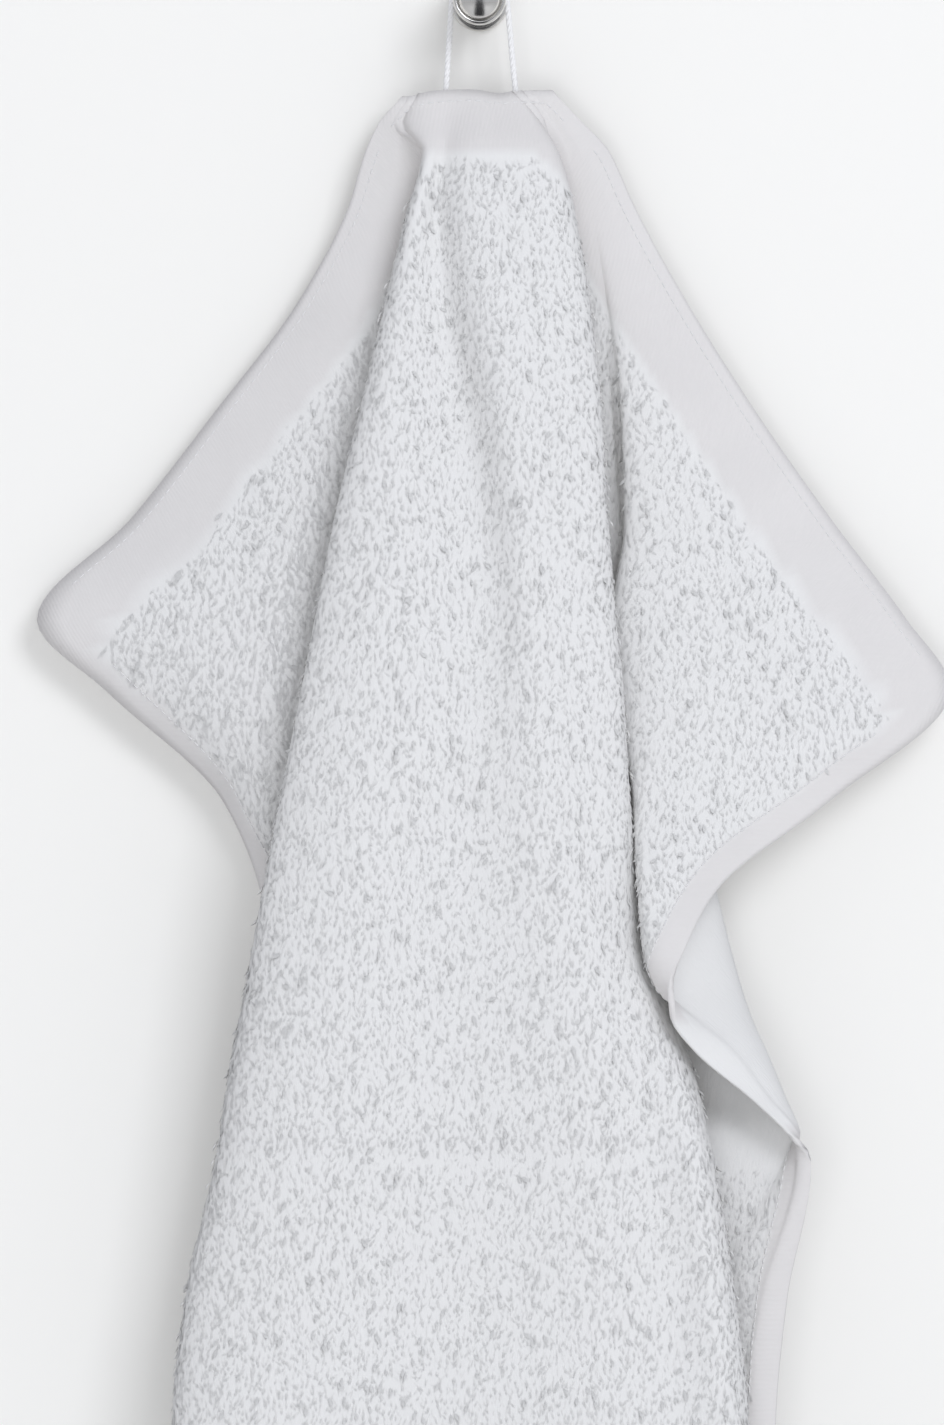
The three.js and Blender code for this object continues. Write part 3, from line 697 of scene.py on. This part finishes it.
def loop_mesh(name, roots, normals, sizes):
    """Many loops as one mesh. Each is a slim grain of six faces: root, a ring of three points, and tip."""
    count = len(roots)
    down = np.array([0, 0, -1.0]) - normals * -normals[:, 2:3]
    down /= np.maximum(np.linalg.norm(down, axis=1), LEAST_DOWN)[:, None]
    aside = np.cross(normals, down)
    swing = rng.normal(0, LOOP_SWING, count)[:, None]
    forth = down * np.cos(swing) + aside * np.sin(swing)
    aside = np.cross(normals, forth)
    length = (rng.uniform(*LOOP_LENGTH, count) * sizes)[:, None]
    radius = (rng.uniform(*LOOP_RADIUS, count) * sizes)[:, None]
    rise = (rng.uniform(*LOOP_RISE, count) * sizes)[:, None]
    standing = (rng.uniform(0, 1, count) < STANDING_SHARE)[:, None]
    rise += standing * STANDING_RISE
    crown = (rng.uniform(*LOOP_CROWN, count) * sizes)[:, None]
    root = roots + normals * GROUND_HALF
    tip = root + normals * rise + forth * length
    lean = tip - root
    lean /= np.linalg.norm(lean, axis=1)[:, None]
    upward = np.cross(lean, aside)
    upward *= FLATNESS * np.sign((upward * normals).sum(axis=1))[:, None]
    flat_middle = root + forth * length * MIDDLE_AT
    middle = flat_middle + normals * rise * MIDDLE_RISE
    points = np.empty((count, 5, 3))
    points[:, 0] = root
    points[:, 1] = np.where(standing, middle + radius * upward, flat_middle + normals * crown)
    for k, way in ((2, -1), (3, 1)):
        points[:, k] = np.where(standing, middle + radius * (way * aside - upward * 0.5),
                                flat_middle + radius * way * aside)
    points[:, 4] = tip
    triangles = np.array([[1 + k, 1 + (k + 1) % 3, 4] for k in range(3)]
                         + [[1 + (k + 1) % 3, 1 + k, 0] for k in range(3)])
    if np.linalg.det([aside[0], upward[0], lean[0]]) < 0:
        triangles = triangles[:, ::-1]  # so that the faces point outwards
    corners = (triangles.ravel() + 5 * np.arange(count)[:, None]).ravel()
    mesh = bpy.data.meshes.new(name)
    mesh.vertices.add(5 * count)
    mesh.vertices.foreach_set("co", (points * MM).ravel().astype(np.float32))
    mesh.loops.add(len(corners))
    mesh.loops.foreach_set("vertex_index", corners.astype(np.int32))
    mesh.polygons.add(6 * count)
    mesh.polygons.foreach_set("loop_start", (3 * np.arange(6 * count)).astype(np.int32))
    mesh.update(calc_edges=True)
    out = np.repeat(normals, 5, axis=0)
    own = np.empty((5 * count, 3), np.float32)
    mesh.vertices.foreach_get("normal", own.ravel())
    shading = mix(own, out, SHADED_AS_CLOTH * smooth(-out[:, 1:2] / SIDE_ON))
    shading /= np.maximum(np.linalg.norm(shading, axis=1), 1e-6)[:, None]
    mesh.normals_split_custom_set_from_vertices(shading)
    # a random tone for each loop, plus one for each standing loop: a painted highlight on the loops that
    # stand out into the light
    tone_and_painted_highlight = np.repeat(rng.uniform(0, 1, count) + standing[:, 0], 5)
    mesh.attributes.new("tone_and_painted_highlight", "FLOAT", "POINT").data.foreach_set("value", tone_and_painted_highlight.astype(np.float32))
    return mesh


# The same bleached cotton as loose yarn, which lets still more light through. Each loop is a slightly
# different white at random, and the standing ones are painted whiter still: a painted highlight on the
# loops that stand out into the light.
YARN_LETS_THROUGH = 0.3
yarn, tree, output = new_material("bleached_cotton_yarn")
tone_and_painted_highlight = add_node(tree, "ShaderNodeAttribute", {}, attribute_name="tone_and_painted_highlight")
# the standing loops' tone passes 1, so their colour goes past f7f6f4: painted highlight
tint = add_node(tree, "ShaderNodeMix", {0: tone_and_painted_highlight.outputs["Fac"], 6: linear("f0efed"), 7: linear("f7f6f4")},
                data_type="RGBA", clamp_factor=False)
front = add_node(tree, "ShaderNodeBsdfPrincipled", {
    "Base Color": tint.outputs[2], "Roughness": 0.9, "Specular IOR Level": 0.2})
through = add_node(tree, "ShaderNodeBsdfTranslucent", {"Color": tint.outputs[2]})
shader = add_node(tree, "ShaderNodeMixShader", {
    0: YARN_LETS_THROUGH, 1: front.outputs[0], 2: through.outputs[0]})
tree.links.new(shader.outputs[0], output.inputs["Surface"])

for number, start in enumerate(range(0, len(roots), LOOPS_A_PIECE)):
    part = slice(start, start + LOOPS_A_PIECE)
    name = f"pile_{number + 1}"
    patch = add_piece(name, loop_mesh(name, roots[part], normals[part], sizes[part]), yarn)
    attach(patch, "root")


# Stitch rows. White cotton thread, lockstitched in a row along the inner border of each side hem and just
# under the top hem. Each stitch is a short bar whose ends dip into the cloth, on both of its faces. Sizes are
# in mm.
STITCH_PITCH = 3
STITCH_LENGTH = 2.5
STITCH_RADIUS = 0.2
STITCH_SINKS = 1.5  # how deep a stitch's ends lie, and how far it stands up, as shares of its radius
STITCH_STANDS = 0.4
STITCH_RINGS = (0.2, 0.8)  # where its two rings are, as shares of its length
TOP_ROW_BELOW = 4
TOP_ROW_REACH = 12.0  # how far down that row is looked for
TOP_ROW_ALONG = (1.5, 18.5)  # from where to where it runs in the middle, between its two side parts
TOP_ROW_STEPS = 200
SIDE_PARTS_FROM = -48
SIDE_PARTS_END = 9  # above the corners
ROWS_SEARCH = 3  # how far along the section the left rows are looked for, from the edge
ROWS_SEARCH_TO = 16  # and to where the right ones are
SIDE_ROWS_START = 14  # below the corners
SIDE_ROWS_END = 3  # above the bottom
HEM_HALF = HEM_THICKNESS / 2
HALVINGS = 14


def on_border(tree, distance, alongs, levels):
    """Moves from the first place of each pair towards the second, until the tree's hem is that far off."""
    low, high = np.zeros(len(alongs)), np.ones(len(alongs))
    for _ in range(HALVINGS):
        share = (low + high) / 2
        along = mix(alongs[:, 0], alongs[:, 1], share)
        level = mix(levels[:, 0], levels[:, 1], share)
        near = np.array([tree.find(p)[2] for p in cloth_points(along, level)]) < distance
        low, high = np.where(near, share, low), np.where(near, high, share)
    return along, level


def stitch_row(along, level):
    """The two ends of each stitch, and the cloth's direction there, in a row through many places."""
    line = cloth_points(along, level)
    walk = np.concatenate([[0], np.cumsum(np.linalg.norm(np.diff(line, axis=0), axis=1))])
    starts = np.arange(0, walk[-1] - STITCH_PITCH, STITCH_PITCH)
    ends = [np.stack([np.interp(at, walk, line[:, k]) for k in range(3)], 1)
            for at in (starts, starts + STITCH_LENGTH)]
    middle = starts + STITCH_LENGTH / 2
    return *ends, cloth_normals(np.interp(middle, walk, along), np.interp(middle, walk, level))


def stitch_mesh(name, starts, ends, normals, radius):
    """Many stitches as one mesh. Each has two square rings and two tips that lie deeper."""
    count = len(starts)
    course = ends - starts
    aside = np.cross(course, normals)
    aside *= radius / np.linalg.norm(aside, axis=1)[:, None]
    upward = normals * radius
    points = np.empty((count, 10, 3))
    points[:, 0] = starts - normals * radius * STITCH_SINKS
    points[:, 9] = ends - normals * radius * STITCH_SINKS
    for ring, share in enumerate(STITCH_RINGS):
        for k, (a, u) in enumerate(((1, 0), (0, 1), (-1, 0), (0, -1))):
            points[:, 1 + 4 * ring + k] = starts + course * share + aside * a + upward * u
    triangles = []
    for k in range(4):
        n = (k + 1) % 4
        triangles += [[0, 1 + k, 1 + n], [1 + k, 5 + k, 5 + n], [1 + k, 5 + n, 1 + n], [9, 5 + n, 5 + k]]
    corners = (np.array(triangles).ravel() + 10 * np.arange(count)[:, None]).ravel()
    mesh = bpy.data.meshes.new(name)
    mesh.vertices.add(10 * count)
    mesh.vertices.foreach_set("co", (points * MM).ravel().astype(np.float32))
    mesh.loops.add(len(corners))
    mesh.loops.foreach_set("vertex_index", corners.astype(np.int32))
    mesh.polygons.add(16 * count)
    mesh.polygons.foreach_set("loop_start", (3 * np.arange(16 * count)).astype(np.int32))
    mesh.update(calc_edges=True)
    bm = bmesh.new()
    bm.from_mesh(mesh)
    bmesh.ops.recalc_face_normals(bm, faces=bm.faces)
    bm.to_mesh(mesh)
    bm.free()
    return mesh


def across_row(tree, distance, edge, inner, top, bottom):
    """Places down a row at that distance from a hem, searched at each level from the edge inwards."""
    levels = np.arange(top, bottom, -1.0)
    ends = np.tile([float(edge), float(inner)], (len(levels), 1))
    return on_border(tree, distance, ends, np.stack([levels, levels], 1))


def under_row(tree, distance, first, last, depth):
    """Places along a row at that distance under the top hem, searched downwards."""
    alongs = np.linspace(first, last, TOP_ROW_STEPS)
    return on_border(tree, distance, np.stack([alongs, alongs], 1),
                     np.tile([float(TOP_HEM), TOP_HEM - depth], (len(alongs), 1)))


from_left = (0, ROWS_SEARCH)
from_right = (LAST_CONTROL, ROWS_SEARCH_TO)
rows_end = BOTTOM_CORNER + SIDE_ROWS_END
hem_rows = [
    across_row(hem_tree, SIDE_HEM_WIDTH, *from_left, LEFT_CORNER - SIDE_ROWS_START, rows_end),
    across_row(hem_tree, SIDE_HEM_WIDTH, *from_right, RIGHT_CORNER - SIDE_ROWS_START, LIP_TOP),
    across_row(hem_tree, SIDE_HEM_WIDTH, *from_right, LIP_BOTTOM, rows_end),
    across_row(band_tree, TOP_ROW_BELOW, *from_left, SIDE_PARTS_FROM, LEFT_CORNER + SIDE_PARTS_END),
    across_row(band_tree, TOP_ROW_BELOW, *from_right, SIDE_PARTS_FROM, RIGHT_CORNER + SIDE_PARTS_END),
    under_row(band_tree, TOP_ROW_BELOW, *TOP_ROW_ALONG, TOP_ROW_REACH),
]
starts, ends, facings = (np.concatenate(parts) for parts in zip(*[stitch_row(*row) for row in hem_rows]))

# Cotton sewing thread, a little glossier than the cloth
thread, tree, output = new_material("cotton_sewing_thread")
place = add_node(tree, "ShaderNodeTexCoord", {})
fibres = add_node(tree, "ShaderNodeTexNoise", {
    "Vector": place.outputs["Object"], "Scale": 2200.0, "Detail": 1.0})
tint = add_node(tree, "ShaderNodeMix", {0: fibres.outputs[0], 6: linear("e4e3e2"), 7: linear("f4f3f2")},
                data_type="RGBA")
shader = add_node(tree, "ShaderNodeBsdfPrincipled", {
    "Base Color": tint.outputs[2], "Roughness": 0.6, "Specular IOR Level": 0.4})
tree.links.new(shader.outputs[0], output.inputs["Surface"])

for name, face in (("stitches_front", 1), ("stitches_back", -1)):
    lift = facings * face * (HEM_HALF + STITCH_RADIUS * STITCH_STANDS)
    mesh = stitch_mesh(name, starts + lift, ends + lift, facings * face, STITCH_RADIUS)
    row = add_piece(name, mesh, thread)
    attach(row, "root")


# Hanging loop. A thin white cotton cord of three strands laid together. It lies over the stem, and its two
# ends are sewn to the back of the top hem, so it has no free end. Its course is that of the solid. Sizes are
# in mm.
STEM_RADIUS = 7.6
LOOP_GAP = 0.3
CORD_RADIUS = 1
LOOP_OFF_WALL = 16
LEGS = (-10.9, 11.7)  # where each leg passes the hem's top
SEWN_LENGTH = 10
BELOW_EDGE = 2  # the cord lies against the hem from here down
SLOPE_ROOM = 0.85  # the hem leans, so its back is farther along Y than half its thickness
STRAND_RADIUS = 0.53
STRAND_OFF_MIDDLE = 0.47
LAY_LENGTH = 6.5  # the strands go once round each other in this length
CORD_STEP = 0.4
CURVE_STEPS = 24
PANEL_ALONG = (5, 11)  # the part of the section that the front panel takes up near the top hem
PANEL_STEPS = 400
STEM_TOP_STEP = 20  # degrees


def panel_y(x, height):
    """The Y of the cloth's middle surface on the front panel at one place near the top hem."""
    along = np.linspace(*PANEL_ALONG, PANEL_STEPS)
    points = spline_points(np.repeat(section_points(np.array([height])), len(along), 0), along)
    return points[np.argmin(np.abs(points[:, 0] - x)), 1]


def leg_points(x):
    """One leg of the loop, from beside the stem to its sewn end."""
    over = STEM_RADIUS + LOOP_GAP + CORD_RADIUS
    behind = HEM_HALF + LOOP_GAP + CORD_RADIUS + SLOPE_ROOM
    seats = [[x, panel_y(x, TOP_HEM - below) + behind, TOP_HEM - below]
             for below in (BELOW_EDGE, BELOW_EDGE + SEWN_LENGTH / 2, BELOW_EDGE + SEWN_LENGTH)]
    free = [[mix(math.copysign(over, x), x, share), mix(-LOOP_OFF_WALL, seats[0][1], share * share),
             mix(0, seats[0][2], share)] for share in (0.25, 0.5, 0.75)]
    return free + seats


def smooth_course(points):
    """A centripetal Catmull-Rom curve through the points, at many even steps."""
    points = np.array(points)
    points = np.vstack([2 * points[0] - points[1], points, 2 * points[-1] - points[-2]])
    knots = np.concatenate([[0], np.cumsum(np.linalg.norm(np.diff(points, axis=0), axis=1) ** 0.5)])
    course = []
    for i in range(1, len(points) - 2):
        (p0, p1, p2, p3), (t0, t1, t2, t3) = points[i - 1:i + 3], knots[i - 1:i + 3]
        for t in np.linspace(t1, t2, CURVE_STEPS, endpoint=False):
            a1 = mix(p0, p1, (t - t0) / (t1 - t0))
            a2 = mix(p1, p2, (t - t1) / (t2 - t1))
            a3 = mix(p2, p3, (t - t2) / (t3 - t2))
            b1 = mix(a1, a2, (t - t0) / (t2 - t0))
            b2 = mix(a2, a3, (t - t1) / (t3 - t1))
            course.append(mix(b1, b2, (t - t1) / (t2 - t1)))
    course = np.array(course + [points[-2]])
    walk = np.concatenate([[0], np.cumsum(np.linalg.norm(np.diff(course, axis=0), axis=1))])
    steps = np.linspace(0, walk[-1], round(walk[-1] / CORD_STEP) + 1)
    return np.stack([np.interp(steps, walk, course[:, k]) for k in range(3)], 1), steps


over_stem = [[(STEM_RADIUS + LOOP_GAP + CORD_RADIUS) * math.cos(a), -LOOP_OFF_WALL,
              (STEM_RADIUS + LOOP_GAP + CORD_RADIUS) * math.sin(a)]
             for a in np.radians(np.arange(180, -1, -STEM_TOP_STEP))]
course, walked_cord = smooth_course(leg_points(LEGS[0])[::-1] + over_stem + leg_points(LEGS[1]))
headings = np.gradient(course, axis=0)
headings /= np.linalg.norm(headings, axis=1)[:, None]
offwards = np.array([0, -1.0, 0]) - headings * -headings[:, 1:2]
offwards /= np.linalg.norm(offwards, axis=1)[:, None]
sidewards = np.cross(headings, offwards)
curve = bpy.data.curves.new("cord_strands", "CURVE")
curve.dimensions = "3D"
curve.bevel_depth = STRAND_RADIUS * MM
curve.bevel_resolution = 2
curve.use_fill_caps = True
for strand in range(3):
    angle = (2 * math.pi * (walked_cord / LAY_LENGTH + strand / 3))[:, None]
    line = course + STRAND_OFF_MIDDLE * (np.cos(angle) * offwards + np.sin(angle) * sidewards)
    spline = curve.splines.new("POLY")
    spline.points.add(len(line) - 1)
    spline.points.foreach_set("co", np.column_stack([line * MM, np.ones(len(line))]).ravel())
strands = bpy.data.objects.new("cord_strands", curve)
bpy.context.scene.collection.objects.link(strands)
mesh = bpy.data.meshes.new_from_object(strands.evaluated_get(bpy.context.evaluated_depsgraph_get()))
bpy.data.objects.remove(strands)
mesh.name = "loop_strands"
mesh.shade_smooth()

# White cotton cord: matt, with fine fibres along it
cord_cotton, tree, output = new_material("laid_cotton_cord")
place = add_node(tree, "ShaderNodeTexCoord", {})
fibres = add_node(tree, "ShaderNodeTexNoise", {
    "Vector": place.outputs["Object"], "Scale": 1500.0, "Detail": 2.0})
bump = add_node(tree, "ShaderNodeBump", {
    "Strength": 0.3, "Distance": 0.15 * MM, "Height": fibres.outputs[0]})
tint = add_node(tree, "ShaderNodeMix", {0: fibres.outputs[0], 6: linear("efeeed"), 7: linear("fbfaf9")},
                data_type="RGBA")
shader = add_node(tree, "ShaderNodeBsdfPrincipled", {
    "Base Color": tint.outputs[2], "Roughness": 0.85, "Specular IOR Level": 0.25,
    "Normal": bump.outputs[0]})
tree.links.new(shader.outputs[0], output.inputs["Surface"])

hanging_loop = add_piece("loop_strands", mesh, cord_cotton)
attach(hanging_loop, "root")
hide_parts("hanging_loop")
